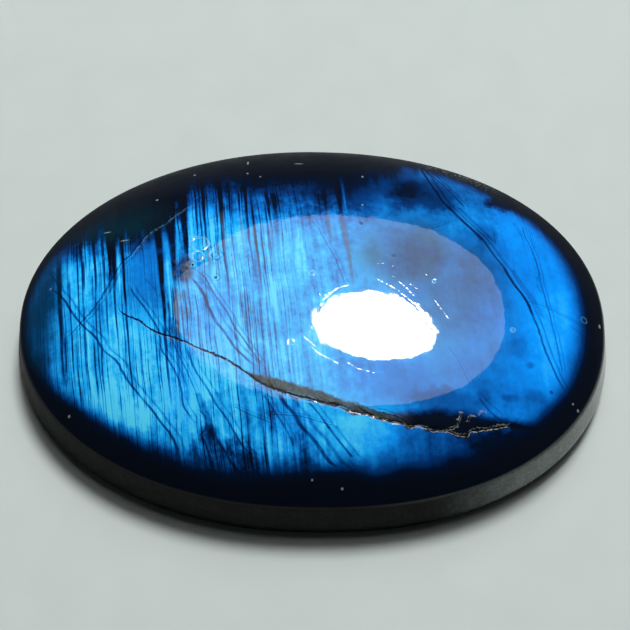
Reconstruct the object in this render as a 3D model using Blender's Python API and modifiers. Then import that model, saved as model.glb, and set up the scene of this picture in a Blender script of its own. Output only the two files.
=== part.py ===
"""Oval labradorite cabochon: a polished dome on a low tapered wall, with a flat back.

Metres, +Z up. The stone rests on its flat back, centred on the origin, its long axis along X.
"""

import math

import bmesh
import bpy

MM = 0.001

# Size of the stone
LENGTH = 40.0 * MM
WIDTH = 28.4 * MM
DOME_RISE = 4.3 * MM
WALL_HEIGHT = 2.4 * MM
BACK_CHAMFER_HEIGHT = 1.2 * MM
BACK_EDGE_HEIGHT = 0.36 * MM

# How far the wall leans in at the top, and the chamfer at the back
WALL_LEAN = 0.42 * MM
CHAMFER_INSET = 0.25 * MM
BACK_EDGE_INSET = 0.35 * MM
EDGE_ROUNDING = 0.3 * MM

# The oval is a little fuller than an ellipse, and not by the same amount in each quarter
FULLNESS_BACK_RIGHT = 2.11
FULLNESS_BACK_LEFT = 2.02
FULLNESS_FRONT_LEFT = 2.09
FULLNESS_FRONT_RIGHT = 2.24

# The dome is flat in the middle and steepens towards its edge
GENTLE_SHARE = 0.55
GENTLE_POWER = 2
STEEP_POWER = 6

# How finely the round form is faceted
TURN_STEPS = 96
DOME_BANDS = 16
WALL_BANDS = 2
EDGE_SEGMENTS = 3
ROUNDED_ABOVE = math.radians(28)
SMOOTH_BELOW = math.radians(40)

# Vertices nearer than this are one vertex, and a vertex nearer the middle than this is on the axis
SAME_PLACE = 0.001 * MM

EDGE_LEVEL = BACK_CHAMFER_HEIGHT + WALL_HEIGHT
TURN_RADIUS = LENGTH / 2

STONE_COLOUR = (0.015, 0.06, 0.13, 1.0)
STONE_ROUGHNESS = 0.08
STONE_METALLIC = 0.0
STONE_IOR = 1.56


def clear_scene():
    for existing in list(bpy.data.objects):
        bpy.data.objects.remove(existing, do_unlink=True)


def dome_height(share):
    """Height of the dome above the back, at a share of the way from its middle to its edge."""
    gentle = GENTLE_SHARE * share**GENTLE_POWER
    steep = (1 - GENTLE_SHARE) * share**STEEP_POWER
    return EDGE_LEVEL + DOME_RISE * (1 - gentle - steep)


def profile():
    """Radius and height of a round stone of the same length, from the dome's top to the back."""
    dome_radius = TURN_RADIUS - WALL_LEAN
    points = []
    for band in range(DOME_BANDS + 1):
        # Bands crowd towards the edge, where the dome bends most
        share = math.sin(math.pi / 2 * band / DOME_BANDS)
        points.append((dome_radius * share, dome_height(share)))
    for band in range(1, WALL_BANDS + 1):
        down = band / WALL_BANDS
        points.append((dome_radius + WALL_LEAN * down, EDGE_LEVEL - WALL_HEIGHT * down))
    points.append((TURN_RADIUS - CHAMFER_INSET, BACK_EDGE_HEIGHT))
    points.append((TURN_RADIUS - BACK_EDGE_INSET, 0.0))
    points.append((0.0, 0.0))
    return points


def oval_reach(angle):
    """Distance from the middle to the oval's edge in a direction."""
    c, s = math.cos(angle), math.sin(angle)
    if s >= 0:
        fullness = FULLNESS_BACK_RIGHT if c >= 0 else FULLNESS_BACK_LEFT
    else:
        fullness = FULLNESS_FRONT_RIGHT if c >= 0 else FULLNESS_FRONT_LEFT
    across = abs(c) / (LENGTH / 2)
    along = abs(s) / (WIDTH / 2)
    return (across**fullness + along**fullness) ** (-1 / fullness)


def to_oval(vert):
    """Moves a vertex of the round stone to its place on the oval one."""
    radius = math.hypot(vert.co.x, vert.co.y)
    if radius < SAME_PLACE:
        return
    angle = math.atan2(vert.co.y, vert.co.x)
    reach = oval_reach(angle)
    if vert.co.z >= EDGE_LEVEL:
        placed = radius * (reach - WALL_LEAN) / (TURN_RADIUS - WALL_LEAN)
    else:
        placed = reach - (TURN_RADIUS - radius)
    vert.co.x *= placed / radius
    vert.co.y *= placed / radius


def turned_stone():
    """The round stone: its profile turned once about Z, with the back closed by one flat face."""
    bm = bmesh.new()
    verts = [bm.verts.new((r, 0.0, z)) for r, z in profile()[:-1]]
    edges = [bm.edges.new(pair) for pair in zip(verts, verts[1:])]
    bmesh.ops.spin(
        bm,
        geom=verts + edges,
        cent=(0, 0, 0),
        axis=(0, 0, 1),
        angle=math.tau,
        steps=TURN_STEPS,
        use_duplicate=False,
        use_merge=True,
    )
    bmesh.ops.remove_doubles(bm, verts=bm.verts, dist=SAME_PLACE)
    rim = [e for e in bm.edges if e.is_boundary]
    bmesh.ops.contextual_create(bm, geom=rim)
    bmesh.ops.recalc_face_normals(bm, faces=bm.faces)
    return bm


def stone_material():
    material = bpy.data.materials.new("labradorite")
    material.use_nodes = True
    shader = material.node_tree.nodes["Principled BSDF"]
    shader.inputs["Base Color"].default_value = STONE_COLOUR
    shader.inputs["Roughness"].default_value = STONE_ROUGHNESS
    shader.inputs["Metallic"].default_value = STONE_METALLIC
    shader.inputs["IOR"].default_value = STONE_IOR
    material.diffuse_color = STONE_COLOUR
    return material


def make_stone(collection):
    bm = turned_stone()
    for vert in bm.verts:
        to_oval(vert)
    mesh = bpy.data.meshes.new("labradorite_cabochon")
    bm.to_mesh(mesh)
    bm.free()
    mesh.shade_smooth()
    mesh.set_sharp_from_angle(angle=SMOOTH_BELOW)
    stone = bpy.data.objects.new("labradorite_cabochon", mesh)
    stone.data.materials.append(stone_material())
    collection.objects.link(stone)

    # Softens the edge between dome and wall, and the edge of the back
    rounding = stone.modifiers.new("edge_rounding", "BEVEL")
    rounding.width = EDGE_ROUNDING
    rounding.segments = EDGE_SEGMENTS
    rounding.limit_method = "ANGLE"
    rounding.angle_limit = ROUNDED_ABOVE
    return stone


def main():
    clear_scene()
    collection = bpy.data.collections.new("labradorite_cabochon")
    bpy.context.scene.collection.children.link(collection)
    make_stone(collection)


main()
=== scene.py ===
"""Oval labradorite cabochon: a polished stone with blue flash, on a plain pale floor.

The stone keeps the size of its CAD solid. Its fracture, chips, pits and hand-polished unevenness are cut
into the mesh, and its flash, dark layers and hairline cracks are in its material. Plan places below are in
millimetres from the middle of the stone: x along its long axis, y across it.
"""

import math

import bmesh
import bpy
import numpy as np
from bpy.props import FloatProperty, FloatVectorProperty, PointerProperty
from mathutils import Matrix, Vector, noise


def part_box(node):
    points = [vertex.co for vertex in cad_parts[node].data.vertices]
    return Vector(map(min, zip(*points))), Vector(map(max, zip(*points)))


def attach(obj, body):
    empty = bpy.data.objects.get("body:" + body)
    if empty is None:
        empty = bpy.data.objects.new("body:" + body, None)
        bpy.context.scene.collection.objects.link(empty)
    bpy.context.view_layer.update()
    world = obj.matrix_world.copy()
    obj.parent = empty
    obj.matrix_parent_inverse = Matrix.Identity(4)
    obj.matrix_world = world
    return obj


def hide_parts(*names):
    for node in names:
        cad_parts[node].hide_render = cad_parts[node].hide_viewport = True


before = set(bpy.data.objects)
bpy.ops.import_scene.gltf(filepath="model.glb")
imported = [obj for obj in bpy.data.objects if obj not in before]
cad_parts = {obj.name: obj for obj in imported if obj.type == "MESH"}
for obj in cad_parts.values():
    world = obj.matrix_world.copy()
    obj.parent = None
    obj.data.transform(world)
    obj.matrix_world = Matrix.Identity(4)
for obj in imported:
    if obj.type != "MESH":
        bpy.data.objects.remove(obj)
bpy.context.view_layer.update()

bl_info = {
    "name": "Labradorite Cabochon",
    "version": (1, 0, 0),
    "blender": (4, 5, 0),
    "location": "View3D > Sidebar > Cabochon",
    "description": "Cuts an oval labradorite cabochon with blue flash and sets it on a pale floor",
    "category": "Mesh",
}

MM = 0.001
NODE = "labradorite_cabochon"

LOW_CORNER, HIGH_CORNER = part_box(NODE)

# The view of the photograph, which is 630 pixels square
PHOTO_SIZE = 630
SENSOR_WIDTH = 36
FOCAL_LENGTH = 99.55
VIEW_AZIMUTH = math.radians(1.5136)
VIEW_ELEVATION = math.radians(60.925)
VIEW_DISTANCE = 120 * MM
AIM = Vector((0.17, 1.86, 1.03)) * MM
CAMERA_ROLL = math.radians(-0.356)
PLACING_STEPS = 40

# Form of the stone

# The oval is a little fuller than an ellipse, by its own amount in each quarter
FULLNESS_BACK_RIGHT = 2.11
FULLNESS_BACK_LEFT = 2.02
FULLNESS_FRONT_LEFT = 2.09
FULLNESS_FRONT_RIGHT = 2.24

# The dome is flat in the middle and steepens towards its edge
GENTLE_SHARE = 0.55
GENTLE_POWER = 2
STEEP_POWER = 6

WALL_LEAN = 0.42
CHAMFER_HEIGHT = 1.2
CHAMFER_INSET = 0.25
BACK_EDGE_HEIGHT = 0.36
BACK_EDGE_INSET = 0.35

TURN_STEPS = 384
DOME_BANDS = 84
WALL_BANDS = 9
CHAMFER_BANDS = 4
ROUNDING_STEPS = 5
SAME_PLACE = 1e-6

# The hand-polished dome is not perfectly even: depth and size of its waves and of its ripples
UNEVEN_DEPTH = 0.012
UNEVEN_SIZE = 5.0
RIPPLE_DEPTH = 0.0045
RIPPLE_SIZE = 0.7

# Fracture

# The long fracture, from its hairline start on the left to where it leaves the flash on the right
FRACTURE = (
    (-12.7, -0.9), (-12.3, -1.5), (-11, -2.3), (-10.3, -2.9), (-9.8, -3.2), (-9, -3.45), (-8, -3.9),
    (-7, -4.4), (-6, -4.85), (-5, -5.4), (-4, -6.1), (-3, -6.8), (-2, -7.2), (-1, -7.55), (0, -7.75),
    (1, -8), (1.9, -8.15), (2.7, -8.5), (3.5, -8.55), (4.2, -8.75), (5, -8.95), (5.8, -9.05),
    (6.3, -9.25), (7, -9.05), (7.5, -9.3), (8.5, -9.25), (9.5, -9.5), (10, -9.5), (10.3, -9.2),
    (11, -9), (12, -8.75), (12.9, -8.6), (14, -8.6), (15, -8.3),
)
# Along the fracture: x, half width of its groove and its depth
GROOVE = (
    (-12.7, 0.03, 0.0), (-8, 0.05, 0.004), (-4, 0.06, 0.008), (0, 0.08, 0.015), (3, 0.10, 0.03),
    (6, 0.13, 0.07), (10, 0.12, 0.07), (12.8, 0.07, 0.04), (15, 0.04, 0.0),
)
# Upper side of the brown-grey lens that lies above the fracture
LENS_TOP = (
    (-4.2, -5.9), (-3, -6.3), (-2.2, -6.4), (-1, -6.8), (0, -7.05), (1, -7.35), (2, -7.75), (3, -8),
    (4, -8.3), (5, -8.5), (6.3, -8.35), (8, -8.1), (10, -8.2), (12, -8.3), (14, -8.2), (15, -8.1),
)
FINE_REACH = 0.55
FINE_CUTS = 3
# Small surface cracks that the light catches
SURFACE_CRACKS = (
    ((3.7, 1.15), (4.4, 0.6), (5, 0.3), (5.6, -0.1), (6.7, -1.1), (7.2, -1.8), (7.6, -2.6), (8.1, -2.9)),
    ((4.3, 1.9), (5, 2), (5.7, 1.4), (6.3, 0.5), (7, 0)),
    ((0.2, -4.4), (0.6, -4.75), (1.8, -5.4)),
    ((2.2, -5.2), (3, -5.7), (4.1, -5.95)),
    ((7, 1.6), (7.5, 1.2), (8, 0.9), (8.8, 1)),
    ((3.5, 4.7), (3.9, 4.3), (4.5, 3.9)),
    ((8, -0.7), (8.4, -1.3), (8.9, -2)),
    ((0.8, -1), (1.3, -0.5), (1.7, -0.1), (2.5, 0.2)),
    ((-0.6, -3.4), (-0.1, -3.9), (0.3, -4.2)),
    ((-0.3, 0.2), (0.3, -0.3), (0.6, -0.6)),
    ((0.1, 0.9), (0.9, 0.3)),
    ((1.4, 0.9), (2.2, 0.6)),
    ((-0.9, -0.6), (-0.2, -1.2)),
    ((5.2, 1), (6, 0.3), (6.6, -0.4)),
)
SURFACE_CRACK_WIDTH = 0.03
SURFACE_CRACK_DEPTH = 0.0036
# Small round pits, whose edges show as rings of painted highlight: x, y, radius, depth
PITS = (
    (-6.25, 0.75, 0.2, 0.02), (-7.8, 1.8, 0.15, 0.02), (0, 1.1, 0.2, 0.006), (-1.2, -3.95, 0.2, 0.006),
    (13.1, -2.3, 0.15, 0.02), (18.05, -0.35, 0.2, 0.03), (7.95, 0.8, 0.12, 0.008),
    (-6.4, 2.6, 0.35, 0.026), (-7.4, 3.5, 0.55, 0.034), (-7.5, 2.5, 0.4, 0.03),
)
PIT_EDGE = 0.06

# Flash

# How far the flash reaches across the stone at each x
FLASH_TOP = (
    (-20, 2.5), (-19, 4), (-17, 6.4), (-15, 7.6), (-12, 8.2), (-10, 8.8), (-9, 9.6), (-8, 10.2),
    (-6, 10.2), (-4, 9.6), (-2, 9.6), (0, 9.6), (2, 10.2), (3.2, 10.4), (5, 11.2), (7, 12.2), (10, 11.6),
    (12, 10.2), (12.8, 9), (14, 8.6), (16, 7), (17.5, 5.2), (19, 2.5), (20, 0.5),
)
FLASH_LOW = (
    (-20, -3), (-18.5, -5), (-17.5, -6), (-16, -7.2), (-14, -8.6), (-12, -9.8), (-10, -10.8),
    (-8, -11.8), (-6, -12.3), (-4, -12.4), (-2, -12.1), (2, -11.9), (6, -11.8), (10, -11.2),
    (12, -10.6), (14, -9.6), (15, -8.4), (16, -7.5), (17, -6.4), (18, -5), (19, -3), (20, -0.5),
)
FLASH_FADE = 1.3
# Broad brighter and duller places: x, y, reach along, reach across, change in brightness
PATCHES = (
    (-9, -5.5, 7, 4.5, 0.28), (16.4, -2.5, 2.2, 4.5, 0.2), (9, 1.5, 4, 4.5, -0.32),
    (6, 3.2, 2.8, 2.6, -0.2), (-10.9, 1.4, 1.8, 4.2, -0.22), (10.5, -10.2, 5.5, 2, -0.48),
    (12.6, -9.4, 3, 1.1, -0.3),
    (3.6, -9.9, 1.9, 1.3, 0.3), (-6, -11.2, 3.5, 1.2, -0.26), (-18.5, 0, 1.8, 6, -0.5),
    (-3, 8, 7, 2.4, -0.12), (9.5, 9.5, 5.5, 3.2, -0.42), (-14, 6, 5, 3, -0.58), (3.6, 9, 3.6, 3.4, -0.34),
    (-13, -7.8, 1.6, 1.3, 0.2), (-2.4, -10.4, 1.3, 1.1, 0.2), (-10.2, -8.2, 1.5, 1.8, 0.14),
    (-4.4, -11, 0.8, 1.1, -0.24), (-0.4, -10.4, 0.7, 1.6, -0.2), (-6, 0.5, 2.5, 5, 0.16),
    (-2, -2.4, 2.4, 3, 0.16),
    (12.5, -6.9, 2.4, 1, -0.16), (-6.4, -9.1, 1, 1.3, -0.22), (-6, -10.6, 1.4, 0.8, -0.2),
    (9, -7.6, 2.8, 0.9, -0.34), (-10.8, 7.6, 2.6, 2.6, -0.44), (13.2, -3.6, 1.5, 0.7, -0.14),
    (11, -5.2, 2.2, 1.6, -0.08), (-17.6, -5.8, 1.6, 2.4, -0.36), (5.6, -6.3, 4, 1.5, -0.16),
    (11.6, 3.6, 1.8, 3.6, -0.1), (12.9, 8.4, 1.2, 0.8, -0.4), (7.4, 7.4, 2.2, 2.4, -0.26),
    (-9, 8.5, 7, 2.5, -0.1),
)
# Places where the flash is a deeper blue: x, y, reach along, reach across, strength
DEEP_BLUE_PLACES = (
    (5.6, -6.3, 4.4, 2.2, 0.8), (-6.2, -2.6, 1.7, 3, 0.6), (-11, 2.6, 1.4, 3.6, 0.85),
    (7, -10, 5, 1.6, 0.8), (-8.2, -6, 1.2, 3.2, 0.65), (-1, -9.6, 1.6, 1.6, 0.5),
)

# How much a layer leans: its place is read at x plus this much of y
LAYER_LEAN = 0.13
# Dark layers: place, half width, from y, to y, strength
LAYERS = (
    (-16.75, 0.15, -6, 3.5, 0.8), (-16.05, 0.06, -6, 1.5, 0.5), (-15.45, 0.05, -7, 6, 0.55),
    (-15.15, 0.05, -7, 5, 0.55), (-15.05, 0.10, 0, 3, 0.7), (-14.2, 0.12, 0, 7, 0.8),
    (-14.25, 0.05, -8, 0, 0.6), (-13.55, 0.08, -0.5, 5, 0.7), (-13.5, 0.04, -4, -0.5, 0.5),
    (-12.85, 0.25, 0.5, 9, 1.0), (-12.9, 0.06, -5, 0.5, 0.7), (-12.2, 0.13, -1.5, 9, 1.0),
    (-12.25, 0.06, -7.5, -1.5, 0.75), (-9.75, 0.19, -3, 5.8, 1.0), (-9.85, 0.07, -8, -3, 0.7),
    (-8.88, 0.22, 0, 5.5, 0.85), (-9.05, 0.05, -7, 0, 0.6), (-8.88, 0.06, -7, 0, 0.6),
    (-7.95, 0.25, 2.2, 9, 0.85), (-7.98, 0.05, -3, 2.2, 0.5), (-7.1, 0.05, 3, 8.5, 0.6),
    (-6.55, 0.10, 3, 9, 0.8), (-5.38, 0.17, 4.5, 10, 0.95), (-5.4, 0.08, -2, 4.5, 0.5),
    (-4.78, 0.07, 5, 9, 0.8), (-4.8, 0.04, -3, 5, 0.45), (-4.12, 0.07, 5.5, 8, 0.8),
    (-3.65, 0.12, 5.5, 9, 0.9), (-3.65, 0.06, 1, 5.5, 0.4), (-3.28, 0.08, -1, 8, 0.5),
    (-2.85, 0.04, -2, 7, 0.5), (-2.2, 0.10, 5, 8, 0.8), (-1.75, 0.17, 5.5, 8, 0.85),
    (-1.75, 0.06, 1, 5.5, 0.3), (1.72, 0.12, 6, 8, 0.8), (2.7, 0.20, 5.6, 9, 0.85),
)
# Dark layers painted brown-grey where the broad lamp's reflection lies over them, a painted reflection:
# place, half width, from y, to y, strength
LAMP_VEILED_LAYERS = (
    (-8.9, 0.16, -4, 0, 0.55), (-7.95, 0.2, 0.3, 2.2, 0.6), (1.72, 0.14, 3, 6, 0.5),
    (2.7, 0.17, 0, 5.6, 0.6), (-6.5, 0.09, 0.5, 4, 0.45), (-5.35, 0.12, 2.5, 6, 0.5),
    (-4.1, 0.08, 1.5, 6, 0.4), (-3.3, 0.09, -1, 5, 0.35), (-2.2, 0.08, 1, 5, 0.3),
)
# Bright layers: place, half width, from y, to y, strength
BRIGHT_LAYERS = (
    (-12.5, 0.07, -1, 4, 0.35), (-9.3, 0.07, -3, 2.4, 0.35), (3.05, 0.10, 6, 10, 0.35),
    (-2.65, 0.2, -4, 8.5, 0.14), (-4.45, 0.15, -4, 9, 0.14), (-6.0, 0.25, -4, 9.5, 0.14),
    (-7.4, 0.2, -2, 9.5, 0.14),
)

# Cracks: width, strength, and the points that each passes
CRACKS = (
    (0.14, 0.68, ((-18, 1.4), (-17.4, 1.2), (-16.4, 0.1), (-15.8, -0.9), (-15, -2.0), (-13.9, -3.2),
                  (-13.5, -3.9), (-12.3, -5.1), (-12, -5.7), (-10.8, -7.3), (-10, -8.2), (-9.3, -9.1),
                  (-8.7, -9.8), (-8.2, -11))),
    (0.08, 0.5, ((-17.9, 2.9), (-17.3, 2.1), (-16.9, 1.2), (-16.6, 0.4))),
    (0.1, 0.6, ((-16.2, -2.9), (-15.6, -2.4), (-14.3, -1), (-13.7, 0), (-13.2, 1.1), (-12.9, 2),
                (-12.2, 2.9), (-11.3, 4.3), (-10.6, 5), (-9.9, 6), (-9.2, 6.6), (-7.2, 8.2))),
    (0.06, 0.45, ((-7, 5.6), (-6.3, 6.1), (-5.8, 6.7), (-5.2, 7.2))),
    (0.12, 0.6, ((-12, 0.6), (-11.6, -0.2), (-10.9, -1.2), (-10.4, -2), (-9.8, -3.1), (-9.6, -4.2),
                 (-9.1, -5), (-8.6, -5.9), (-8.2, -6.8), (-8, -8), (-7.7, -8.5), (-7.2, -9.2))),
    (0.17, 0.7, ((-7.9, 0.9), (-7, -0.5), (-6.6, -1.5), (-6.2, -2.4), (-5.6, -3.2), (-4.8, -4.4),
                 (-4.2, -5), (-3.6, -5.6))),
    (0.1, 0.65, ((-7.6, 1.4), (-7, 0.8), (-6.3, -0.5), (-5.3, -2.1), (-4.9, -2.9), (-4.4, -3.6),
                 (-3.4, -5.1), (-3, -5.6))),
    (0.22, 0.68, ((-2, -7.4), (-1.6, -8), (-0.8, -8.9), (-0.6, -9.3), (0.2, -10.1), (0.8, -10.8),
                  (1.3, -11.4), (1.9, -11.8))),
    (0.14, 0.6, ((1.1, -9.3), (1.5, -9.8), (2.5, -10.9), (2.8, -11.2))),
    (0.12, 0.55, ((0, -8), (0.8, -8.9), (1.3, -9.6))),
    (0.1, 0.5, ((-2.9, -7.5), (-2.3, -8.4), (-1.4, -9.7), (-0.9, -10.6))),
    (0.06, 0.45, ((-4.8, -8.2), (-4, -8.6), (-2.5, -9.2))),
    (0.06, 0.4, ((-2.5, -8.7), (-0.5, -8.85), (0.8, -9.2), (1.6, -9.35))),
    (0.13, 0.6, ((-8, -4.2), (-7.3, -5.8), (-6.4, -7.2), (-6, -7.9), (-5.1, -9.1), (-4.2, -10.5),
                 (-3.5, -11.2))),
    (0.08, 0.5, ((-9.4, -2.6), (-8.6, -4.4), (-7.8, -6), (-7.2, -7.4), (-6.8, -8.6))),
    (0.15, 0.62, ((-6.8, -9.9), (-6.4, -10.6), (-5.9, -12))),
    (0.13, 0.6, ((-5.8, -10.2), (-5.3, -10.8), (-4.9, -11.4), (-4.3, -12))),
    (0.05, 0.35, ((-11, 1), (-10.1, -0.3), (-9.95, -1))),
    (0.05, 0.3, ((17, -1.2), (18.4, -1.9))),
    (0.22, 0.5, ((9, 7.4), (9.9, 6.2), (10.6, 5.4), (11.4, 4.4))),
    (0.14, 0.4, ((7.2, 12.3), (7.8, 10), (8.2, 9), (8.6, 8), (9.2, 7.1))),
    (0.12, 0.5, ((-6.9, -8.4), (-6.5, -9.2), (-6.9, -10))),
    (0.2, 0.5, ((12.6, 2.5), (13.3, 1.2), (14, 0.2), (14.5, -1))),
    (0.05, 0.45, ((13.6, 6.6), (13.9, 5.8), (14.2, 5))),
    (0.05, 0.45, ((14.6, 6.2), (14.8, 5.2), (14.9, 4.4))),
    (0.05, 0.4, ((15.1, 2.6), (14.9, 1.6), (15.2, 0.8))),
    (0.13, 0.62, ((7.2, 12.3), (7.8, 10), (8.2, 9), (8.6, 8), (9.2, 7.1), (9.9, 6.2), (10.6, 5.4),
                  (11.3, 4.6), (12, 3.4), (12.8, 2.2), (13.3, 1.2), (14, 0.2), (14.4, -0.8),
                  (14.8, -1.9), (15.1, -3), (15.5, -4), (15.9, -4.9), (16.7, -6))),
    (0.10, 0.5, ((7.6, 11.5), (8.2, 10.5), (9, 9.3), (9.6, 8.4), (10.2, 7.4))),
    (0.09, 0.45, ((14.1, 6.8), (14.3, 5.6), (14.7, 4.4), (15, 3), (15.1, 2), (15.5, 0), (15.7, -1),
                  (16, -2.5), (16.4, -4.9))),
    (0.06, 0.3, ((11.4, 7.4), (11.8, 6.4), (12.1, 5.5), (12.2, 4.2))),
    (0.06, 0.35, ((13.9, 0.1), (15.5, -0.2), (16.5, -0.5), (18.2, -1))),
    (0.07, 0.35, ((7.3, 4.6), (7.7, 5), (8.5, 5.4), (9.3, 5.9))),
    (0.08, 0.35, ((-0.3, 5.6), (0.2, 5), (0.9, 3.5), (1.5, 2.3), (2.2, 0.3))),
    (0.08, 0.3, ((8.8, -3.9), (9.3, -4.6), (9.9, -5.7), (10.2, -6.3))),
    (0.14, 0.4, ((10.8, -7.2), (11.6, -8), (12.3, -8.4))),
)
# The four lists below pass through pixels of the photograph, and on_dome places them on the stone.
# Cracks painted as pale highlight lines on dark: width in mm, strength, and the pixels that each passes
CRACK_HIGHLIGHTS = (
    (0.04, 0.5, ((129, 258), (139, 247), (152, 232), (167, 222), (183, 211), (195, 204))),
    (0.04, 0.5, ((210, 220), (220, 214))),
    (0.07, 0.8, ((286, 394), (300, 398), (310, 400), (317, 402))),
    (0.06, 0.7, ((339, 406), (346, 408), (351, 410))),
)
# Painted glints: broken edges in the fracture's black part, drawn pale in the colour
GLINTS = (
    (0.05, 0.95, ((367, 416), (380, 420), (393, 424), (404, 426), (415, 427), (424, 428), (434, 431),
                  (447, 432), (457, 435), (468, 436))),
    (0.06, 0.95, ((467, 436), (474, 433), (483, 431), (492, 430), (500, 428), (511, 427))),
    (0.05, 0.8, ((445, 430), (452, 429), (459, 426))),
    (0.045, 0.75, ((457, 424), (459, 419), (461, 413))),
    (0.04, 0.7, ((466, 422), (469, 417), (472, 414))),
    (0.04, 0.7, ((478, 415), (487, 411))),
)
# Dark lines in the brown-grey lens
CRUSHED_LINES = (
    (0.08, 0.8, ((267, 379), (274, 388), (279, 392))),
    (0.07, 0.7, ((318, 396), (322, 397), (330, 402))),
    (0.08, 0.85, ((352, 404), (372, 414), (383, 419), (393, 421))),
    (0.08, 0.85, ((377, 411), (400, 418), (411, 424))),
)
# The broad dark place at the lower left
DARK_PLACE = ((0.4, 0.5, ((196, 391), (200, 398), (206, 415), (210, 430), (216, 440), (221, 448))),)
# Dark spots: x, y, reach along, reach across, strength
SPOTS = (
    (12.8, -6.9, 0.6, 0.3, 0.3), (14.2, -4.6, 0.3, 0.25, 0.28), (15.6, -6.1, 0.16, 0.12, 0.4),
    (14.5, -6.5, 0.8, 0.45, 0.2), (11.1, -6.9, 0.5, 0.4, 0.2), (3.2, 5.25, 0.14, 0.14, 0.6),
    (5.4, 2.6, 0.14, 0.14, 0.6), (-8.4, 1.4, 0.7, 1.0, 0.5), (11.6, 5, 0.7, 1.1, 0.3),
    (-6.3, -9.8, 0.7, 0.55, 0.6), (-6.25, 0.75, 0.1, 0.1, 0.9), (-7.8, 1.8, 0.09, 0.09, 0.9),
)
# Places where the stone looks calmer, with less of its mottling and streaks
CALM_PLACES = (
    (-11, 1.6, 1.9, 5.5, 0.7), (4.5, 9.5, 5, 3, 0.8), (7, -7.2, 4, 1.4, 0.6), (6.5, 3, 4, 3.5, 0.45),
)
# Places with a teal tone
TEAL_PLACES = ((-18.7, 0, 2.2, 7, 0.6), (-13.5, 6.6, 3.5, 2.4, 0.5))
# Pale specks: x, y, reach along, reach across
SPECKS = (
    (-4.65, 11.55, 0.07, 0.25), (-8.3, 10.45, 0.09, 0.09), (-4.6, 10.1, 0.08, 0.08),
    (-10.7, 7.9, 0.09, 0.09), (-1.1, 11.2, 0.32, 0.05), (3.3, 9.75, 0.08, 0.1), (3.3, 6.9, 0.08, 0.08),
    (0.25, -12.4, 0.07, 0.07), (2.15, -12.8, 0.09, 0.07), (-15.55, -7.8, 0.09, 0.09),
    (17.4, -6.7, 0.08, 0.1), (19.2, -0.4, 0.08, 0.16), (-12.6, 4.3, 0.3, 0.05), (-13.9, 5.3, 0.25, 0.05),
    (9.6, -8.15, 0.16, 0.05), (10.4, -8.3, 0.2, 0.04), (-6.5, -4.7, 0.08, 0.06), (-5.3, -5.2, 0.1, 0.06),
    (-3.7, 9.65, 0.06, 0.08), (17.05, -6.4, 0.07, 0.07), (-17.5, 1.3, 0.07, 0.07),
    (-4.8, -5.45, 0.08, 0.05), (9.4, -8.6, 0.1, 0.05), (10.9, -7.95, 0.12, 0.05),
)

# Turn of the noise patterns, in radians about each axis
NOISE_TURN = (0.5, 0.35, 0.65)


def linear(red, green, blue):
    """A screen colour, 0 to 255, as the linear colour that a shader takes."""
    shares = [c / 255 for c in (red, green, blue)]
    return tuple(s / 12.92 if s <= 0.04045 else ((s + 0.055) / 1.055) ** 2.4 for s in shares)


def with_alpha(colour):
    return (*colour, 1.0)


# What a user would change


class StoneSettings(bpy.types.PropertyGroup):
    length: FloatProperty(
        name="Length",
        description="Long axis of the oval",
        default=HIGH_CORNER[0] - LOW_CORNER[0],
        unit="LENGTH",
        precision=4,
    )
    width: FloatProperty(
        name="Width",
        description="Short axis of the oval",
        default=HIGH_CORNER[1] - LOW_CORNER[1],
        unit="LENGTH",
        precision=4,
    )
    dome_rise: FloatProperty(
        name="Dome rise",
        description="Height of the dome above its edge",
        default=HIGH_CORNER[2] - LOW_CORNER[2] - 3.6 * MM,
        unit="LENGTH",
        precision=4,
    )
    wall_height: FloatProperty(
        name="Wall height",
        description="Height of the tapered wall between the dome and the chamfer at the back",
        default=2.4 * MM,
        unit="LENGTH",
        precision=4,
    )
    cyan_flash: FloatVectorProperty(
        name="Cyan flash",
        description="Colour of the brightest flash on the left half",
        default=linear(36, 182, 253),
        subtype="COLOR",
        min=0,
        max=1,
    )
    blue_flash: FloatVectorProperty(
        name="Blue flash",
        description="Colour of the brightest flash on the right half",
        default=linear(12, 150, 252),
        subtype="COLOR",
        min=0,
        max=1,
    )
    dark_stone: FloatVectorProperty(
        name="Dark stone",
        description="Colour of the stone where it does not flash",
        default=linear(9, 15, 26),
        subtype="COLOR",
        min=0,
        max=1,
    )


class StageSettings(bpy.types.PropertyGroup):
    floor_colour: FloatVectorProperty(
        name="Floor colour",
        description="Colour of the plain floor",
        default=linear(192, 201, 198),
        subtype="COLOR",
        min=0,
        max=1,
    )
    broad_lamp: FloatProperty(
        name="Broad lamp",
        description="Power of the broad soft lamp that lays the pale oval on the dome",
        default=2.08,
        unit="POWER",
    )
    core_lamp: FloatProperty(
        name="Core lamp",
        description="Power of the small bright lamp that makes the white highlight",
        default=3.7,
        unit="POWER",
    )
    view_azimuth: FloatProperty(
        name="View azimuth",
        description="Direction the camera stands in, from the front towards the right",
        default=VIEW_AZIMUTH,
        subtype="ANGLE",
    )
    view_elevation: FloatProperty(
        name="View elevation",
        description="How far above the back of the stone the camera stands",
        default=VIEW_ELEVATION,
        subtype="ANGLE",
    )
    view_distance: FloatProperty(
        name="View distance",
        description="Distance of the camera from the middle of the back",
        default=VIEW_DISTANCE,
        unit="LENGTH",
    )
    focal_length: FloatProperty(
        name="Focal length",
        description="Focal length of the lens, in millimetres",
        default=FOCAL_LENGTH,
        subtype="DISTANCE_CAMERA",
    )


# Mesh of the stone


def oval_reach(angle, length, width):
    """Distance from the middle to the oval's edge in a direction."""
    c, s = math.cos(angle), math.sin(angle)
    if s >= 0:
        fullness = FULLNESS_BACK_RIGHT if c >= 0 else FULLNESS_BACK_LEFT
    else:
        fullness = FULLNESS_FRONT_RIGHT if c >= 0 else FULLNESS_FRONT_LEFT
    return ((abs(c) * 2 / length) ** fullness + (abs(s) * 2 / width) ** fullness) ** (-1 / fullness)


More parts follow.
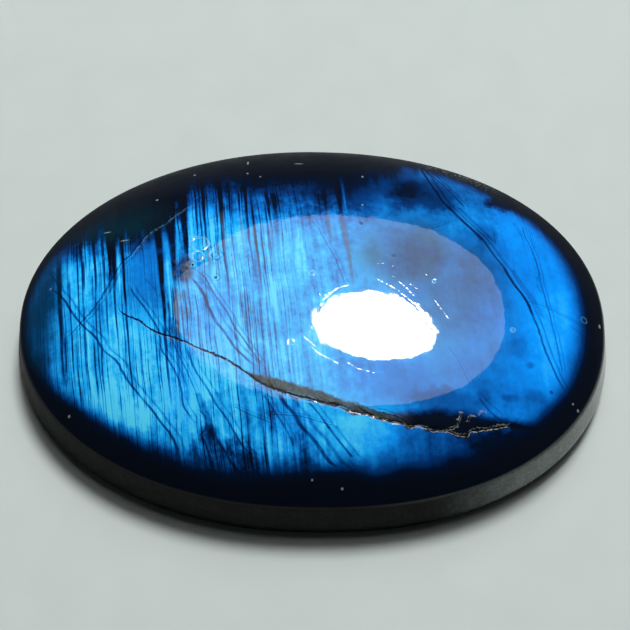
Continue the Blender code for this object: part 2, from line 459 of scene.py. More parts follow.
def dome_height(share, stone):
    """Height of the dome in mm, at a share of the way from its middle to its edge."""
    fall = GENTLE_SHARE * share**GENTLE_POWER + (1 - GENTLE_SHARE) * share**STEEP_POWER
    return CHAMFER_HEIGHT + stone.wall_height / MM + stone.dome_rise / MM * (1 - fall)


def view_matrix(azimuth, elevation, distance):
    """Place and turn of a camera that looks at the stone."""
    level = math.cos(elevation)
    back = Vector((math.sin(azimuth) * level, -math.cos(azimuth) * level, math.sin(elevation)))
    place = back * distance
    turn = (AIM - place).to_track_quat("-Z", "Y").to_matrix().to_4x4()
    return Matrix.Translation(place) @ turn @ Matrix.Rotation(CAMERA_ROLL, 4, "Z")


def on_dome(pixel, stone):
    """Place on the dome, in mm from the middle of the stone, that a pixel of the photograph shows."""
    view = view_matrix(VIEW_AZIMUTH, VIEW_ELEVATION, VIEW_DISTANCE)
    per_pixel = SENSOR_WIDTH / FOCAL_LENGTH / PHOTO_SIZE
    right, up = pixel[0] - PHOTO_SIZE / 2, PHOTO_SIZE / 2 - pixel[1]
    ray = view.to_3x3() @ Vector((right * per_pixel, up * per_pixel, -1.0))
    eye = view.translation / MM
    height = dome_height(0, stone)
    for _ in range(PLACING_STEPS):
        hit = eye + ray * ((height - eye.z) / ray.z)
        reach = oval_reach(math.atan2(hit.y, hit.x), stone.length / MM, stone.width / MM)
        share = min(math.hypot(hit.x, hit.y) / (reach - WALL_LEAN), 1.0)
        height = (height + dome_height(share, stone)) / 2
    return hit.x, hit.y


def rounded(before, corner, after, size):
    """Points of a soft corner that starts and ends a short way from it."""
    a, c, b = Vector(before), Vector(corner), Vector(after)
    start = c + (a - c).normalized() * size
    end = c + (b - c).normalized() * size
    steps = [i / ROUNDING_STEPS for i in range(ROUNDING_STEPS + 1)]
    return [tuple(start * (1 - t) ** 2 + c * 2 * t * (1 - t) + end * t**2) for t in steps]


def stone_profile(stone):
    """Radius and height of a round stone of the same length, from the dome's top to the back, in mm."""
    turn_radius = stone.length / MM / 2
    dome_radius = turn_radius - WALL_LEAN

    def dome_point(share):
        return (dome_radius * share, dome_height(share, stone))

    edge = dome_point(1)
    foot = (turn_radius, CHAMFER_HEIGHT)
    chamfer_end = (turn_radius - CHAMFER_INSET, BACK_EDGE_HEIGHT)
    back_edge = (turn_radius - BACK_EDGE_INSET, 0.0)
    soft_edge = rounded(dome_point(0.97), edge, foot, 0.26)
    soft_foot = rounded(edge, foot, chamfer_end, 0.2)

    points = []
    for band in range(DOME_BANDS):
        even = band / (DOME_BANDS - 1)
        share = 0.7 * even + 0.3 * math.sin(math.pi / 2 * even)
        if dome_radius * share < soft_edge[0][0] - 0.05:
            points.append(dome_point(share))
    points += soft_edge
    for band in range(1, WALL_BANDS):
        points.append(tuple(Vector(soft_edge[-1]).lerp(soft_foot[0], band / WALL_BANDS)))
    points += soft_foot
    for band in range(1, CHAMFER_BANDS):
        points.append(tuple(Vector(soft_foot[-1]).lerp(chamfer_end, band / CHAMFER_BANDS)))
    points += [chamfer_end, back_edge]
    return points


def turned_stone(stone):
    """The round stone in mm: its profile turned once about Z and closed by a flat back."""
    bm = bmesh.new()
    verts = [bm.verts.new((r, 0.0, z)) for r, z in stone_profile(stone)]
    edges = [bm.edges.new(pair) for pair in zip(verts, verts[1:])]
    bmesh.ops.spin(
        bm,
        geom=verts + edges,
        cent=(0, 0, 0),
        axis=(0, 0, 1),
        angle=math.tau,
        steps=TURN_STEPS,
        use_duplicate=False,
        use_merge=True,
    )
    bmesh.ops.remove_doubles(bm, verts=bm.verts, dist=SAME_PLACE)
    rim = [e for e in bm.edges if e.is_boundary]
    bmesh.ops.contextual_create(bm, geom=rim)
    bmesh.ops.recalc_face_normals(bm, faces=bm.faces)
    return bm


def draw_out_to_oval(bm, stone):
    """Moves the round stone's vertices to their places on the oval one."""
    turn_radius = stone.length / MM / 2
    edge_level = CHAMFER_HEIGHT + stone.wall_height / MM
    for vert in bm.verts:
        radius = math.hypot(vert.co.x, vert.co.y)
        if radius < SAME_PLACE:
            continue
        angle = math.atan2(vert.co.y, vert.co.x)
        reach = oval_reach(angle, stone.length / MM, stone.width / MM)
        on_dome = radius * (reach - WALL_LEAN) / (turn_radius - WALL_LEAN)
        on_wall = reach - (turn_radius - radius)
        placed = on_dome if vert.co.z >= edge_level else on_wall
        vert.co.x *= placed / radius
        vert.co.y *= placed / radius


def distance_to_line(places, line):
    """Distance of each place to a line through points, and the x where it is nearest."""
    nearest = np.full(len(places), np.inf)
    nearest_x = np.zeros(len(places))
    for start, end in zip(line, line[1:]):
        a, b = np.array(start, float), np.array(end, float)
        along = np.clip(((places - a) @ (b - a)) / ((b - a) @ (b - a)), 0, 1)
        foot = a + along[:, None] * (b - a)
        gap = np.hypot(*(places - foot).T)
        closer = gap < nearest
        nearest[closer] = gap[closer]
        nearest_x[closer] = foot[closer, 0]
    return nearest, nearest_x


def plan_of(verts):
    return np.array([(v.co.x, v.co.y) for v in verts])


def refine_along_marks(bm, edge_level):
    """Smaller faces on the dome where the fracture, surface cracks and pits are cut."""
    bm.verts.ensure_lookup_table()
    verts = list(bm.verts)
    places = plan_of(verts)
    gap, at_x = distance_to_line(places, FRACTURE)
    fine = (gap < FINE_REACH) & (at_x > -6)
    for line in SURFACE_CRACKS:
        fine |= distance_to_line(places, line)[0] < 0.22
    for px, py, radius, _ in PITS:
        fine |= np.hypot(places[:, 0] - px, places[:, 1] - py) < radius + 0.2
    near = {v for v, chosen in zip(verts, fine) if chosen and v.co.z > edge_level}
    edges = [e for e in bm.edges if e.verts[0] in near and e.verts[1] in near]
    bmesh.ops.subdivide_edges(bm, edges=edges, cuts=FINE_CUTS, use_grid_fill=True)

    # The surface cracks are finer still
    verts = list(bm.verts)
    places = plan_of(verts)
    fine = np.zeros(len(verts), bool)
    for line in SURFACE_CRACKS:
        fine |= distance_to_line(places, line)[0] < 0.09
    near = {v for v, chosen in zip(verts, fine) if chosen and v.co.z > edge_level}
    edges = [e for e in bm.edges if e.verts[0] in near and e.verts[1] in near]
    bmesh.ops.subdivide_edges(bm, edges=edges, cuts=1, use_grid_fill=True)


def rough(x, y, size, seed):
    """Smooth random number from -1 to 1 that changes over a given size."""
    return noise.noise(Vector((x / size, y / size, seed)))


def cut_marks(bm, edge_level):
    """Lowers the dome where it is fractured, cracked, pitted or unevenly polished."""
    verts = [v for v in bm.verts if v.co.z > edge_level + 0.05]
    places = plan_of(verts)
    gap, at_x = distance_to_line(places, FRACTURE)
    stations = np.array(GROOVE)
    half = np.interp(at_x, stations[:, 0], stations[:, 1])
    depth = np.interp(at_x, stations[:, 0], stations[:, 2])
    cracks = [distance_to_line(places, line)[0] for line in SURFACE_CRACKS]
    for i, vert in enumerate(verts):
        x, y = places[i]
        down = 0.0
        chip = max(0.0, 0.75 + 1.1 * rough(x, y, 0.3, 3.0) + 0.7 * rough(x, y, 0.8, 7.0))
        reach = half[i] * (1 + 0.8 * rough(x, y, 0.5, 11.0))
        if gap[i] < 3 * half[i]:
            down += depth[i] * chip * math.exp(-((gap[i] / max(reach, 0.02)) ** 2))
        for crack in cracks:
            if crack[i] < 3 * SURFACE_CRACK_WIDTH:
                shape = math.exp(-((crack[i] / SURFACE_CRACK_WIDTH) ** 2))
                down += SURFACE_CRACK_DEPTH * shape * max(0.0, 0.5 + 2.0 * rough(x, y, 0.18, 5.0))
        for px, py, radius, pit_depth in PITS:
            off = math.hypot(x - px, y - py) - radius * (1 + 0.3 * rough(x, y, 0.5, 9.0))
            if abs(off) < 3 * PIT_EDGE:
                down += pit_depth * math.exp(-((off / PIT_EDGE) ** 2))
        down += UNEVEN_DEPTH * (0.5 + 0.5 * rough(x, y, UNEVEN_SIZE, 1.0))
        down += RIPPLE_DEPTH * (0.5 + 0.5 * rough(x, y, RIPPLE_SIZE, 2.0))
        vert.co.z -= max(down, 0.0)


class CutCabochon(bpy.types.Operator):
    """Cuts the polished oval stone, with its fracture, cracks and pits"""

    bl_idname = "cabochon.cut_stone"
    bl_label = "Cut the stone"

    def execute(self, context):
        stone = context.scene.cabochon_stone
        edge_level = CHAMFER_HEIGHT + stone.wall_height / MM
        bm = turned_stone(stone)
        draw_out_to_oval(bm, stone)
        refine_along_marks(bm, edge_level)
        cut_marks(bm, edge_level)
        bmesh.ops.recalc_face_normals(bm, faces=bm.faces)
        bmesh.ops.scale(bm, vec=(MM, MM, MM), verts=bm.verts)
        mesh = bpy.data.meshes.new("polished_stone")
        bm.to_mesh(mesh)
        bm.free()
        mesh.shade_smooth()
        mesh.set_sharp_from_angle(angle=math.radians(50))
        piece = bpy.data.objects.new("polished_stone", mesh)
        context.scene.collection.objects.link(piece)
        piece.data.materials.append(labradorite(stone))
        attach(piece, "root")
        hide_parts(NODE)
        return {"FINISHED"}


# Material of the stone


class Number:
    """A number passing through a material's nodes; sums and products of it add Math nodes."""

    def __init__(self, tree, socket):
        self.tree, self.socket = tree, socket

    def math(self, operation, *others):
        # No node here is clamped: Cycles keeps clamped results waiting until its stack is full
        node = self.tree.nodes.new("ShaderNodeMath")
        node.operation = operation
        for i, value in enumerate((self, *others)):
            feed(self.tree, value, node.inputs[i])
        return Number(self.tree, node.outputs[0])

    def __add__(self, other):
        return self.math("ADD", other)

    def __sub__(self, other):
        return self.math("SUBTRACT", other)

    def __mul__(self, other):
        return self.math("MULTIPLY", other)

    def size(self):
        return self.math("ABSOLUTE")

    def most(self, other):
        return self.math("MAXIMUM", other)

    def rest(self):
        """What is left of one when the number is taken away."""
        return self.math("MULTIPLY_ADD", -1.0, 1.0)

    def ramp(self, low, high, start=0.0, end=1.0, smooth=True):
        """Start up to low, end from high on, and a soft change between them."""
        node = self.tree.nodes.new("ShaderNodeMapRange")
        node.interpolation_type = "SMOOTHSTEP" if smooth else "LINEAR"
        node.clamp = False
        for name, value in (
            ("Value", self), ("From Min", low), ("From Max", high), ("To Min", start), ("To Max", end)
        ):
            feed(self.tree, value, node.inputs[name])
        return Number(self.tree, node.outputs["Result"])


def feed(tree, value, socket):
    """Links a number into a socket, or sets the socket to a plain value."""
    if isinstance(value, Number):
        tree.links.new(value.socket, socket)
    elif hasattr(value, "links"):
        tree.links.new(value, socket)
    else:
        socket.default_value = value


def follow(number, points):
    """The height of a smooth line through points, read at a number."""
    firsts = [p[0] for p in points]
    seconds = [p[1] for p in points]
    start, end = firsts[0], firsts[-1]
    low, high = min(seconds), max(seconds)
    spread = high - low or 1.0
    # A node comes after the ones that feed it, so that few numbers wait at once while the stone is shaded
    along = number.ramp(start, end, smooth=False)
    node = number.tree.nodes.new("ShaderNodeFloatCurve")
    curve = node.mapping.curves[0]
    shares = [((a - start) / (end - start), (b - low) / spread) for a, b in points]
    curve.points[0].location = shares[0]
    curve.points[1].location = shares[-1]
    for share in shares[1:-1]:
        curve.points.new(*share)
    for point in curve.points:
        point.handle_type = "AUTO_CLAMPED"
    node.mapping.update()
    feed(number.tree, along, node.inputs["Value"])
    return along, Number(number.tree, node.outputs["Value"]).ramp(0, 1, low, high, smooth=False)


def new_group(name, inputs):
    """A node group that gives one number, with a Number for each of its inputs."""
    group = bpy.data.node_groups.new(name, "ShaderNodeTree")
    for title in inputs:
        group.interface.new_socket(title, in_out="INPUT", socket_type="NodeSocketFloat")
    group.interface.new_socket("Amount", in_out="OUTPUT", socket_type="NodeSocketFloat")
    inside = group.nodes.new("NodeGroupInput")
    return group, [Number(group, inside.outputs[title]) for title in inputs]


def close_group(group, result):
    outside = group.nodes.new("NodeGroupOutput")
    group.links.new(result.socket, outside.inputs["Amount"])
    return group


def use_group(tree, group, *values):
    node = tree.nodes.new("ShaderNodeGroup")
    node.node_tree = group
    for socket, value in zip(node.inputs, values):
        feed(tree, value, socket)
    return Number(tree, node.outputs["Amount"])


def layer_group():
    """One thin layer of the stone, seen edge on: strong at its middle, fading at both ends."""
    group, (across, y, centre, half, low, high, strength) = new_group(
        "layer", ("Across", "Y", "Centre", "Half width", "From", "To", "Strength")
    )
    wide = half * y.ramp(low, high, 0.45, 1.0)
    line = (across - centre).size().ramp(wide * 1.75, wide * 0.6)
    ends = y.ramp(low - 0.6, low + 1.6) * y.ramp(high + 0.6, high - 0.5)
    return close_group(group, line * ends * strength)


def hairline_group():
    """A crack: a strong line and a fainter one beside it, both fading at their ends."""
    group, (along, offset, half, strength) = new_group(
        "hairline", ("Along", "Offset", "Half width", "Strength")
    )
    beside = (offset - half * 3.4).size().ramp(half, half * 0.2, 0, 0.5)
    line = offset.size().ramp(half, half * 0.25).most(beside)
    ends = along.ramp(0, 0.06) * along.ramp(1, 0.94)
    return close_group(group, line * ends * strength)


def patch_group():
    """A soft oval place."""
    group, (x, y, cx, cy, along, across, strength) = new_group(
        "patch", ("X", "Y", "Centre X", "Centre Y", "Along", "Across", "Strength")
    )
    dx = (x - cx).math("DIVIDE", along)
    dy = (y - cy).math("DIVIDE", across)
    far = dx * dx + dy * dy
    return close_group(group, far.ramp(1.6, 0.0) * strength)


def ring_group():
    """The thin edge of a round pit."""
    group, (x, y, cx, cy, radius) = new_group("ring", ("X", "Y", "Centre X", "Centre Y", "Radius"))
    dx, dy = x - cx, y - cy
    away = (dx * dx + dy * dy).math("SQRT") - radius
    return close_group(group, away.size().ramp(0.075, 0.015))


def crack(hairline, x, y, width, strength, points):
    """Draws one crack along whichever direction it runs most steadily in."""
    run_x = abs(points[-1][0] - points[0][0])
    run_y = abs(points[-1][1] - points[0][1])
    if run_y > run_x:
        points = [(b, a) for a, b in points]
        x, y = y, x
        run_x, run_y = run_y, run_x
    points = sorted(points)
    along, line = follow(x, points)
    offset = (y - line) * (run_x / math.hypot(run_x, run_y))
    return use_group(x.tree, hairline, along, offset, width / 2, strength)


def strongest_crack(lines, hairline, x, y, stone):
    """The strongest of several cracks at each place, where each passes pixels of the photograph."""
    strongest = None
    for width, strength, pixels in lines:
        points = [on_dome(pixel, stone) for pixel in pixels]
        line = crack(hairline, x, y, width * 1.6, strength, points)
        strongest = line if strongest is None else strongest.most(line)
    return strongest


def strongest_place(places, patch, x, y):
    """The strongest of several soft oval places."""
    strongest = use_group(x.tree, patch, x, y, *places[0])
    for values in places[1:]:
        strongest = strongest.most(use_group(x.tree, patch, x, y, *values))
    return strongest


def noise_at(tree, vector, scale, detail=2.0, roughness=0.5, stretch=(1, 1, 1)):
    """Soft random number near a half, from a place in mm."""
    mapping = tree.nodes.new("ShaderNodeMapping")
    mapping.inputs["Scale"].default_value = [scale * s for s in stretch]
    if stretch == (1, 1, 1):
        # Turned away from the axes, along which the noise's own grid would show as weaving
        mapping.inputs["Rotation"].default_value = NOISE_TURN
    feed(tree, vector, mapping.inputs["Vector"])
    node = tree.nodes.new("ShaderNodeTexNoise")
    node.inputs["Scale"].default_value = 1.0
    node.inputs["Detail"].default_value = detail
    node.inputs["Roughness"].default_value = roughness
    tree.links.new(mapping.outputs["Vector"], node.inputs["Vector"])
    return Number(tree, node.outputs["Fac"])


def colour_ramp(tree, amount, stops):
    node = tree.nodes.new("ShaderNodeValToRGB")
    ramp = node.color_ramp
    ramp.elements[0].position, ramp.elements[1].position = stops[0][0], stops[-1][0]
    ramp.elements[0].color = with_alpha(stops[0][1])
    ramp.elements[1].color = with_alpha(stops[-1][1])
    for place, colour in stops[1:-1]:
        ramp.elements.new(place).color = with_alpha(colour)
    feed(tree, amount, node.inputs["Fac"])
    return node.outputs["Color"]


def mix(tree, amount, first, second):
    """Goes from one colour to another."""
    node = tree.nodes.new("ShaderNodeMix")
    node.data_type = "RGBA"
    feed(tree, amount, node.inputs[0])
    for value, socket in ((first, node.inputs[6]), (second, node.inputs[7])):
        feed(tree, with_alpha(value) if isinstance(value, tuple) else value, socket)
    return node.outputs[2]


def labradorite(stone):
    material = bpy.data.materials.new("labradorite")
    material.use_nodes = True
    tree = material.node_tree
    shader = tree.nodes["Principled BSDF"]
    layer, hairline, patch = layer_group(), hairline_group(), patch_group()

    # Place on the stone in mm
    place = tree.nodes.new("ShaderNodeTexCoord").outputs["Object"]
    in_mm = tree.nodes.new("ShaderNodeVectorMath")
    in_mm.operation = "SCALE"
    in_mm.inputs["Scale"].default_value = 1 / MM
    tree.links.new(place, in_mm.inputs[0])
    vector = in_mm.outputs["Vector"]
    split = tree.nodes.new("ShaderNodeSeparateXYZ")
    tree.links.new(vector, split.inputs[0])
    x, y, z = (Number(tree, split.outputs[i]) for i in range(3))

    # Small wander that keeps lines from looking ruled
    wander = noise_at(tree, vector, 1.1, detail=3, roughness=0.6) - 0.5
    rx = x + wander * 0.35
    ry = y + wander * -0.35
    px = x + (noise_at(tree, vector, 0.8, detail=3, roughness=0.65) - 0.5) * 1.8
    py = y + wander * 1.8
    across = x + y * LAYER_LEAN + (noise_at(tree, vector, 0.22, detail=1) - 0.5) * 0.35

    # Fine streaks along the layers
    lean = tree.nodes.new("ShaderNodeCombineXYZ")
    feed(tree, across, lean.inputs[0])
    feed(tree, y, lean.inputs[1])
    streak_place = lean.outputs[0]
    streaks = noise_at(tree, streak_place, 1.0, detail=3, roughness=0.7, stretch=(3.6, 0.16, 1))
    broad_streaks = noise_at(tree, streak_place, 1.0, detail=2, stretch=(1.5, 0.10, 1))
    fine_lines = noise_at(tree, streak_place, 1.0, detail=2, roughness=0.6, stretch=(8, 0.12, 1))
    clouds = noise_at(tree, vector, 0.3, detail=2, roughness=0.55)
    mottle = noise_at(tree, vector, 0.95, detail=4, roughness=0.62)

    # Where the stone flashes
    ragged_y = y + (streaks - 0.5) * 2.2 + (broad_streaks - 0.5) * 2.0
    top = follow(x, FLASH_TOP)[1]
    low = follow(x, FLASH_LOW)[1]
    flash = (top - ragged_y).ramp(-0.5 * FLASH_FADE, x.ramp(3, 9, 2.6, 1.4) * FLASH_FADE)
    flash = flash * (y + (clouds - 0.5) * 1.0 - low).ramp(-0.5 * FLASH_FADE, 1.1 * FLASH_FADE)
    flash = flash * z.ramp(x.ramp(-19, -15, 3.7, 4.3), x.ramp(-19, -13, 4.4, 5.5))

    # How brightly it flashes
    bright = (clouds - 0.5) * x.ramp(9, 1, 0.3, 1.1) + (mottle - 0.5) * x.ramp(8, 0, 0.4, 0.75)
    crinkle = noise_at(tree, vector, 2.6, detail=3, roughness=0.7) - 0.5
    bright = bright + crinkle * x.ramp(8, 0, 0.25, 0.7)
    bright = bright + (streaks - 0.5) * x.ramp(3, -1, 0.16, 1.25)
    bright = bright + (broad_streaks - 0.5) * x.ramp(4, 0, 0.22, 1.0)
    bright = bright - fine_lines.ramp(0.45, 0.39) * x.ramp(1, -4, 0.0, 0.55)
    calm = strongest_place(CALM_PLACES, patch, px, py)
    bright = bright * x.ramp(-17.2, -15.2, 0.25, 1.0) * calm.rest() + 0.87
    bright = bright - y.ramp(3, 9.5) * x.ramp(5, 2, 0, 0.3)
    for values in PATCHES:
        bright = bright + use_group(tree, patch, px, py, *values)
    for values in BRIGHT_LAYERS:
        bright = bright + use_group(tree, layer, across, y, *values)

    patchy = mottle.ramp(0.3, 0.55, 0.6, 1.0)
    light_left = None
    for values in LAYERS:
        passed = (use_group(tree, layer, across, y, *values) * patchy).rest()
        light_left = passed if light_left is None else light_left * passed
    for width, strength, points in CRACKS:
        line = crack(hairline, rx, ry, width * 1.6, strength * 0.9, points)
        light_left = light_left * (line * patchy).rest()
    dark_place = strongest_crack(DARK_PLACE, hairline, rx, ry, stone)
    light_left = light_left * (dark_place * patchy).rest()
    for values in SPOTS:
        light_left = light_left * use_group(tree, patch, rx, ry, *values).rest()

    # The fracture: a dark line, black under its right half, with a brown-grey lens above it
    jagged_y = ry + (noise_at(tree, vector, 3.2, detail=3, roughness=0.7) - 0.5) * 0.34
    _, fracture_y = follow(rx, FRACTURE)
    above = jagged_y - fracture_y
    along_fracture = x.ramp(-12.9, -12.0) * x.ramp(15.4, 13.5)
    fracture_half = x.ramp(-9, 5, 0.08, 0.17)
    on_fracture = above.size().ramp(fracture_half * 1.3, fracture_half * 0.3) * along_fracture
    _, lens_top_y = follow(rx, LENS_TOP)
    below_top = lens_top_y - jagged_y
    over = above.ramp(0.0, 0.12)
    brown_lens = over * below_top.ramp(-0.12, 0.12) * x.ramp(-4.4, -3.6) * x.ramp(6.8, 4.8)
    black_lens = over * below_top.ramp(-0.35, 0.5) * x.ramp(4.5, 6.5) * x.ramp(16, 13)
    light_left = light_left * (on_fracture * 0.92).rest() * (black_lens * 0.95).rest()

    shine = flash * bright * light_left
    # The ends of both scales are brighter than full flash, so that its brightest places still vary
    shine = shine * 0.8
    left_tone = colour_ramp(tree, shine, (
        (0.0, tuple(stone.dark_stone)), (0.11, linear(3, 22, 50)), (0.29, linear(4, 62, 128)),
        (0.48, linear(14, 118, 200)), (0.64, linear(26, 158, 236)), (0.8, tuple(stone.cyan_flash)),
        (1.0, linear(86, 214, 255)),
    ))
    right_tone = colour_ramp(tree, shine, (
        (0.0, tuple(stone.dark_stone)), (0.11, linear(3, 20, 48)), (0.29, linear(4, 54, 118)),
        (0.48, linear(10, 98, 184)), (0.64, linear(12, 126, 224)), (0.8, tuple(stone.blue_flash)),
        (1.0, linear(48, 184, 255)),
    ))
    deep = (x + (clouds - 0.5) * 4 + y * -0.3).ramp(6, 12.5).most(y.ramp(3, 8.5) * x.ramp(8, 3))
    for values in DEEP_BLUE_PLACES:
        deep = deep.most(use_group(tree, patch, px, py, *values))
    colour = mix(tree, deep, left_tone, right_tone)

    # Duller olive place, brown lens, and the broad lamp's reflection painted brown-grey over dark layers
    olive = use_group(tree, patch, rx, ry, 6, 3, 3.4, 3.0, 0.8)
    olive = olive.most(use_group(tree, patch, rx, ry, 9.8, -1, 3.4, 5.5, 0.42))
    olive = olive * flash * clouds.ramp(0.35, 0.6, 0.4, 1.0)
    colour = mix(tree, olive, colour, linear(34, 82, 106))
    teal = strongest_place(TEAL_PLACES, patch, px, py) * flash
    colour = mix(tree, teal, colour, linear(8, 52, 66))
    # Painted reflection: the broad lamp's pale veil laid as brown-grey over the dark layers
    for values in LAMP_VEILED_LAYERS:
        painted_lamp_veil = use_group(tree, layer, across, y, *values) * flash
        colour = mix(tree, painted_lamp_veil, colour, linear(74, 76, 84))
    grain = noise_at(tree, vector, 4.0, detail=3)
    brown_tone = colour_ramp(tree, grain, ((0.3, linear(52, 51, 36)), (0.7, linear(88, 86, 64))))
    colour = mix(tree, brown_lens * 0.92, colour, brown_tone)
    crumbs = use_group(tree, patch, rx, ry, -8.4, 1.4, 0.9, 1.2, 1.0)
    colour = mix(tree, crumbs * grain.ramp(0.44, 0.62, 0, 0.5), colour, linear(92, 90, 78))
    crushed = strongest_crack(CRUSHED_LINES, hairline, rx, jagged_y, stone)
    colour = mix(tree, crushed, colour, linear(10, 10, 9))
    broken = grain.ramp(0.38, 0.55, 0.2, 1.0)
    # Painted highlights: cracks that catch the lamps, drawn as pale lines in the colour
    painted_crack_highlights = strongest_crack(CRACK_HIGHLIGHTS, hairline, rx, ry, stone) * broken
    colour = mix(tree, painted_crack_highlights, colour, linear(112, 182, 222))
    # Painted glints along the fracture's broken edges
    glints = strongest_crack(GLINTS, hairline, rx, jagged_y, stone) * grain.ramp(0.36, 0.54, 0.1, 1.0)
    colour = mix(tree, glints, colour, linear(158, 158, 140))

    # Pale specks, the pale edge of the fracture, and painted sparkle on the far rim at the upper right
    specks_and_sparkle = use_group(tree, patch, x, y, *SPECKS[0], 1.0)
    for values in SPECKS[1:]:
        specks_and_sparkle = specks_and_sparkle.most(use_group(tree, patch, x, y, *values, 1.0))
    pale_side = (above + 0.13).size().ramp(0.09, 0.01) * x.ramp(-12, -10) * x.ramp(6, 3)
    specks_and_sparkle = specks_and_sparkle.most(pale_side * grain.ramp(0.4, 0.62) * 0.75)
    # Painted sparkle: small pale glints on the steep far rim at the upper right
    rim_sparks = z.ramp(5.0, 4.3) * z.ramp(3.6, 3.8) * x.ramp(6.5, 8) * x.ramp(13.5, 11) * y.ramp(5, 8)
    specks_and_sparkle = specks_and_sparkle.most(rim_sparks * noise_at(tree, vector, 6, detail=2).ramp(0.57, 0.67) * 0.85)
    colour = mix(tree, specks_and_sparkle * 0.75, colour, linear(140, 152, 148))
    # Painted highlights: the edges of the pits drawn as pale rings, as where they catch the lamps
    ring = ring_group()
    pit_edge_highlights = use_group(tree, ring, rx, ry, *PITS[0][:3])
    for values in PITS[1:]:
        pit_edge_highlights = pit_edge_highlights.most(use_group(tree, ring, rx, ry, *values[:3]))
    pit_edge_highlights = pit_edge_highlights * mottle.ramp(0.35, 0.6, 0.25, 0.7) * z.ramp(5, 6.2, 0.25, 1.0)
    colour = mix(tree, pit_edge_highlights, colour, linear(110, 205, 240))

    # The wall and the back are ground, not polished, and show grey-green stone with darker layers,
    # darkened further as painted shade; the lower right of the wall is paled as a painted reflection of
    # the floor
    off_dome = z.ramp(3.75, 3.3)
    ground = colour_ramp(tree, streaks * 0.25 + mottle * 0.35 + grain * 0.4, (
        (0.3, linear(7, 7, 7)), (0.5, linear(14, 14, 12)), (0.68, linear(32, 32, 27)),
    ))
    painted_wall_reflection = colour_ramp(tree, grain * 0.5 + mottle * 0.5, (
        (0.36, linear(46, 52, 48)), (0.5, linear(80, 88, 84)), (0.64, linear(112, 120, 114)),
    ))
    # Painted reflection: the lower right of the wall paled as if it mirrored the pale floor
    ground = mix(tree, x.ramp(7, 14) * y.ramp(6, -2) * 0.8, ground, painted_wall_reflection)
    colour = mix(tree, off_dome, colour, ground)
    feed(tree, colour, shader.inputs["Base Color"])

    # Finish
    polish_wear = noise_at(tree, vector, 0.8, detail=2, roughness=0.65)
    roughness = polish_wear.ramp(0.3, 0.7, 0.36, 0.46) + off_dome * 0.12 + specks_and_sparkle * 0.1
    feed(tree, roughness, shader.inputs["Roughness"])
    # The steep border and the fracture's lens are less well polished, but the very edge shines again
    steep = z - y.ramp(4, 9, 0, 0.32)
    border = steep.ramp(6.65, 6.1, 1.0, 0.03).most(z.ramp(3.72, 3.6) * x.ramp(2, 9, 0.3, 0.9))
    wall_shine = x.ramp(8, 15) * y.ramp(6, -2) * 0.85 + 0.1
    coat = border * off_dome.rest() + wall_shine * off_dome
    coat = coat * (on_fracture * 0.6).rest() * (brown_lens * 0.5).rest()
    feed(tree, coat, shader.inputs["Coat Weight"])
    shader.inputs["Specular IOR Level"].default_value = 0.01
    shader.inputs["IOR"].default_value = 1.56
    shader.inputs["Coat IOR"].default_value = 1.56
    shader.inputs["Coat Roughness"].default_value = 0.03

    # Low relief in metres: polishing texture everywhere, coarser on the ground wall and back
    fine = noise_at(tree, vector, 2.2, detail=2) * 0.0000022
    coarse = noise_at(tree, vector, 3.0, detail=4, roughness=0.7) * off_dome * 0.00003
    bump = tree.nodes.new("ShaderNodeBump")
    bump.inputs["Distance"].default_value = 1.0
    feed(tree, fine + coarse, bump.inputs["Height"])
    tree.links.new(bump.outputs["Normal"], shader.inputs["Normal"])
    tree.links.new(bump.outputs["Normal"], shader.inputs["Coat Normal"])
    return material


# Stage

FLOOR_REACH = 3.0
FLOOR_LIT_TO = 0.2
FLOOR_GLOWS_FROM = 0.9
HORIZON_COLOUR = (0.5, 0.55, 0.54)
# The core lamp hangs just under the broad one, which would hide it in reflections otherwise
BROAD_LAMP_PLACE = (0.073, 0.360, 0.600)
BROAD_LAMP_SIZE = (0.584, 0.798)
CORE_LAMP_PLACE = (0.081, 0.243, 0.595)
CORE_LAMP_SIZE = (0.178, 0.208)


def floor_material(colour):
    material = bpy.data.materials.new("pale_floor")
    material.use_nodes = True
    tree = material.node_tree
    shader = tree.nodes["Principled BSDF"]
    place = tree.nodes.new("ShaderNodeTexCoord").outputs["Object"]
    mottle = noise_at(tree, place, 300.0, detail=3)
    darker = tuple(c * 0.97 for c in colour)
    tone = colour_ramp(tree, mottle, ((0.3, darker), (0.7, tuple(colour))))
    feed(tree, tone, shader.inputs["Base Color"])
    # Far out, where the lamps no longer reach, the floor gives its own light up to the horizon
    far = tree.nodes.new("ShaderNodeVectorMath")
    far.operation = "LENGTH"
    tree.links.new(place, far.inputs[0])
    out = Number(tree, far.outputs["Value"]).ramp(FLOOR_LIT_TO, FLOOR_GLOWS_FROM)
    glow = colour_ramp(tree, out, ((0.0, (0.0, 0.0, 0.0)), (1.0, HORIZON_COLOUR)))
    feed(tree, glow, shader.inputs["Emission Color"])
    shader.inputs["Emission Strength"].default_value = 1.0
    shader.inputs["Roughness"].default_value = 0.9
    shader.inputs["Specular IOR Level"].default_value = 0.1
    return material


def add_floor(context, colour):
    bm = bmesh.new()
    bmesh.ops.create_circle(bm, cap_ends=True, segments=64, radius=FLOOR_REACH)
    mesh = bpy.data.meshes.new("floor")
    bm.to_mesh(mesh)
    bm.free()
    floor = bpy.data.objects.new("floor", mesh)
    floor.data.materials.append(floor_material(colour))
    context.scene.collection.objects.link(floor)


def add_lamp(context, name, power, place, size):
    lamp = bpy.data.lights.new(name, "AREA")
    lamp.shape = "ELLIPSE"
    lamp.size, lamp.size_y = size
    lamp.energy = power
    holder = bpy.data.objects.new(name, lamp)
    holder.location = place
    context.scene.collection.objects.link(holder)


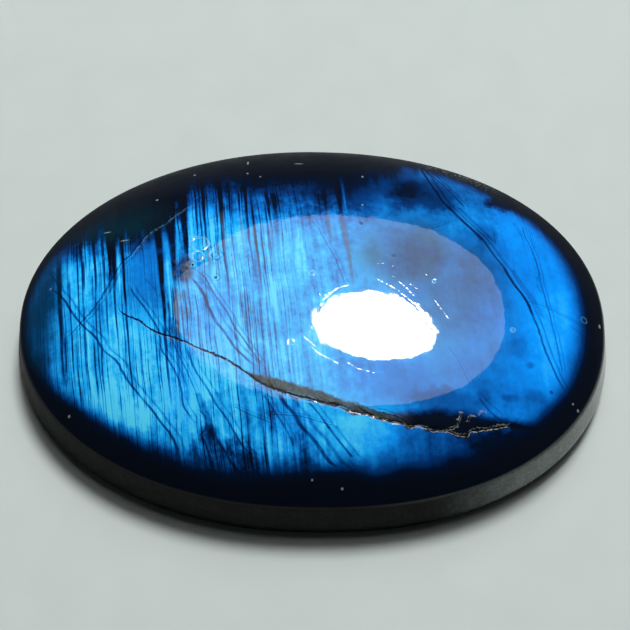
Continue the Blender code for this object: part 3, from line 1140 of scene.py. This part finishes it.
def add_surroundings(context):
    """A dark room with a pale band round the horizon."""
    world = bpy.data.worlds.new("studio")
    context.scene.world = world
    world.use_nodes = True
    tree = world.node_tree
    split = tree.nodes.new("ShaderNodeSeparateXYZ")
    tree.links.new(tree.nodes.new("ShaderNodeTexCoord").outputs["Generated"], split.inputs[0])
    up = Number(tree, split.outputs["Z"])
    tone = colour_ramp(tree, up.ramp(0.06, 0.22), ((0.0, HORIZON_COLOUR), (1.0, (0.01, 0.01, 0.011))))
    feed(tree, tone, tree.nodes["Background"].inputs["Color"])


def add_camera(context, stage):
    data = bpy.data.cameras.new("camera")
    data.sensor_width = SENSOR_WIDTH
    data.lens = stage.focal_length
    data.clip_start = 0.01
    camera = bpy.data.objects.new("camera", data)
    camera.matrix_world = view_matrix(stage.view_azimuth, stage.view_elevation, stage.view_distance)
    context.scene.collection.objects.link(camera)
    context.scene.camera = camera


class SetStage(bpy.types.Operator):
    """Lays the pale floor and sets the lamps, the surroundings and the camera"""

    bl_idname = "cabochon.set_stage"
    bl_label = "Set the stage"

    def execute(self, context):
        stage = context.scene.cabochon_stage
        add_floor(context, tuple(stage.floor_colour))
        add_lamp(context, "broad_lamp", stage.broad_lamp, BROAD_LAMP_PLACE, BROAD_LAMP_SIZE)
        add_lamp(context, "core_lamp", stage.core_lamp, CORE_LAMP_PLACE, CORE_LAMP_SIZE)
        add_surroundings(context)
        add_camera(context, stage)
        context.scene.view_settings.view_transform = "Standard"
        return {"FINISHED"}


class CabochonPanel(bpy.types.Panel):
    bl_label = "Labradorite cabochon"
    bl_idname = "VIEW3D_PT_cabochon"
    bl_space_type = "VIEW_3D"
    bl_region_type = "UI"
    bl_category = "Cabochon"

    def draw(self, context):
        stone, stage = context.scene.cabochon_stone, context.scene.cabochon_stage
        for settings, operator in ((stone, CutCabochon), (stage, SetStage)):
            for name in settings.__annotations__:
                self.layout.prop(settings, name)
            self.layout.operator(operator.bl_idname)


CLASSES = (StoneSettings, StageSettings, CutCabochon, SetStage, CabochonPanel)


def register():
    for cls in CLASSES:
        bpy.utils.register_class(cls)
    bpy.types.Scene.cabochon_stone = PointerProperty(type=StoneSettings)
    bpy.types.Scene.cabochon_stage = PointerProperty(type=StageSettings)


def unregister():
    del bpy.types.Scene.cabochon_stage
    del bpy.types.Scene.cabochon_stone
    for cls in reversed(CLASSES):
        bpy.utils.unregister_class(cls)


def main():
    register()
    bpy.ops.cabochon.cut_stone()
    bpy.ops.cabochon.set_stage()


if __name__ == "__main__":
    main()
